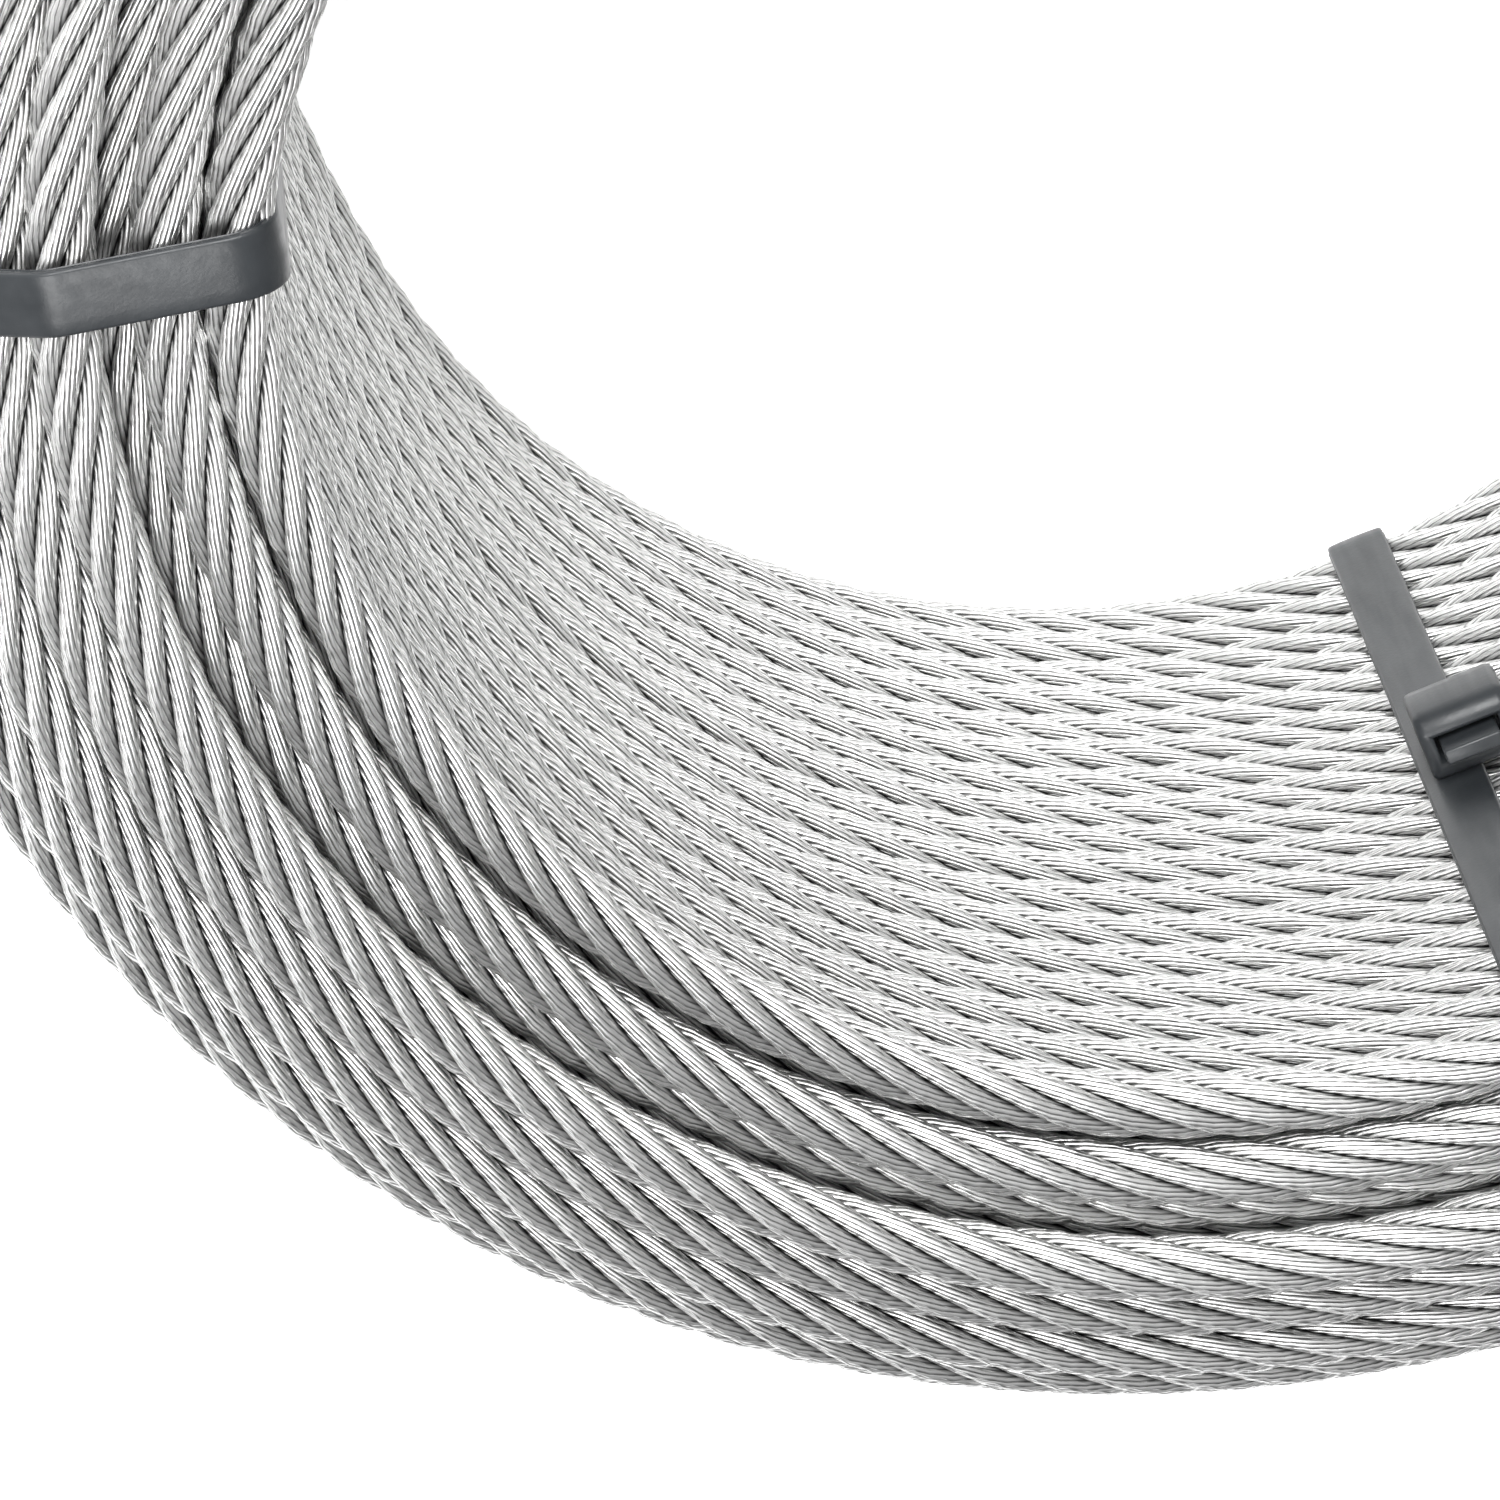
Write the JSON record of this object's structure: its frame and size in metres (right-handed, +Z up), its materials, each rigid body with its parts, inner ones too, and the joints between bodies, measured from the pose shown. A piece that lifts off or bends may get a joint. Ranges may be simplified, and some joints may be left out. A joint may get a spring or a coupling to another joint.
{
  "type": "wire rope coil with thimble eye",
  "caption": "Storage coil of stranded steel wire rope bound by cable ties, with one end made up as a ferrule-secured thimble eye and the other end capped.",
  "frame": {"origin": "on the coil's axis, in the plane that the coil lies on", "axes": "+Z up along the coil's axis; +Y towards the right-hand tie"},
  "size_m": [0.1984, 0.1997, 0.0887],
  "materials": {
    "wire_rope": "bright stranded stainless wire",
    "thimble_metal": "polished stainless sheet",
    "ferrule_metal": "pressed, satin",
    "tie_nylon": "satin moulded nylon",
    "cap_vinyl": "glossy dipped vinyl"
  },
  "bodies": {
    "root": {"rope_coil": "wire_rope", "rope_lead": "wire_rope", "rope_eye": "wire_rope", "thimble": "thimble_metal", "ferrule": "ferrule_metal", "tie_left": "tie_nylon", "tie_right": "tie_nylon", "tie_back": "tie_nylon", "inner_end_cap": "cap_vinyl"}
  },
  "joints": []
}
